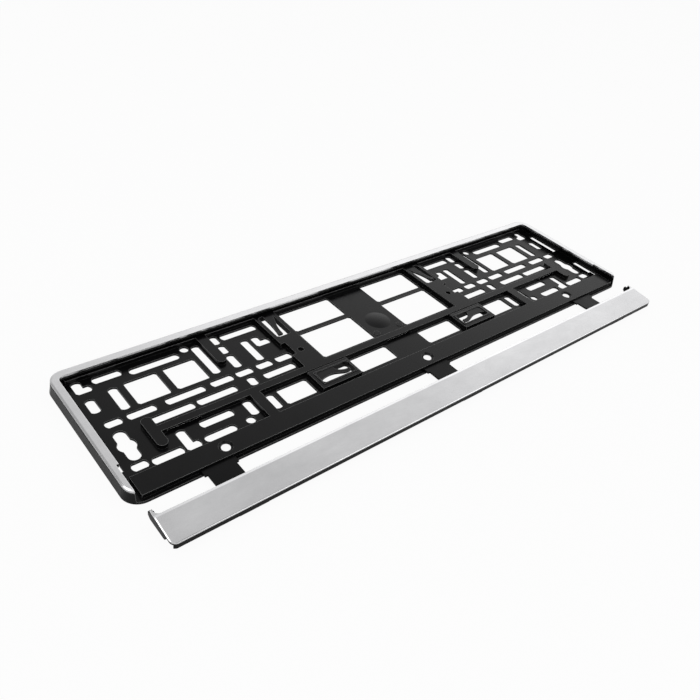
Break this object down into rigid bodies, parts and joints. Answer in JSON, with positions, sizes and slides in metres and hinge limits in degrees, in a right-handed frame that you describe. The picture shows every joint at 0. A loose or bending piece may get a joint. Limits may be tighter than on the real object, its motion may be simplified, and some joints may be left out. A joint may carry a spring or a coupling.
{
  "type": "number plate holder",
  "caption": "Slotted black number plate holder with a bright rim frame and a lower retaining strip that slides in on tongues to hold the plate.",
  "frame": {"origin": "middle of the base plate's flat back face", "axes": "+X along the plate's length, +Y to the holder's top edge, +Z out of the front; the holder lies on its back as in the picture"},
  "size_m": [0.532, 0.1736, 0.0105],
  "materials": {
    "black_base": "black moulded plastic, semi-gloss",
    "bright_frame": "satin bright plating",
    "black_strip": "black moulded plastic, semi-gloss",
    "bright_strip": "satin bright plating"
  },
  "bodies": {
    "holder": {"base_plate": "black_base", "chrome_frame": "bright_frame"},
    "strip": {"strip_carrier": "black_strip", "chrome_strip": "bright_strip"}
  },
  "joints": [
    {"name": "strip_slide", "type": "slide", "parent": "holder", "child": "strip", "axis": [0, 1, 0], "range_m": [0, 0.0424]}
  ]
}
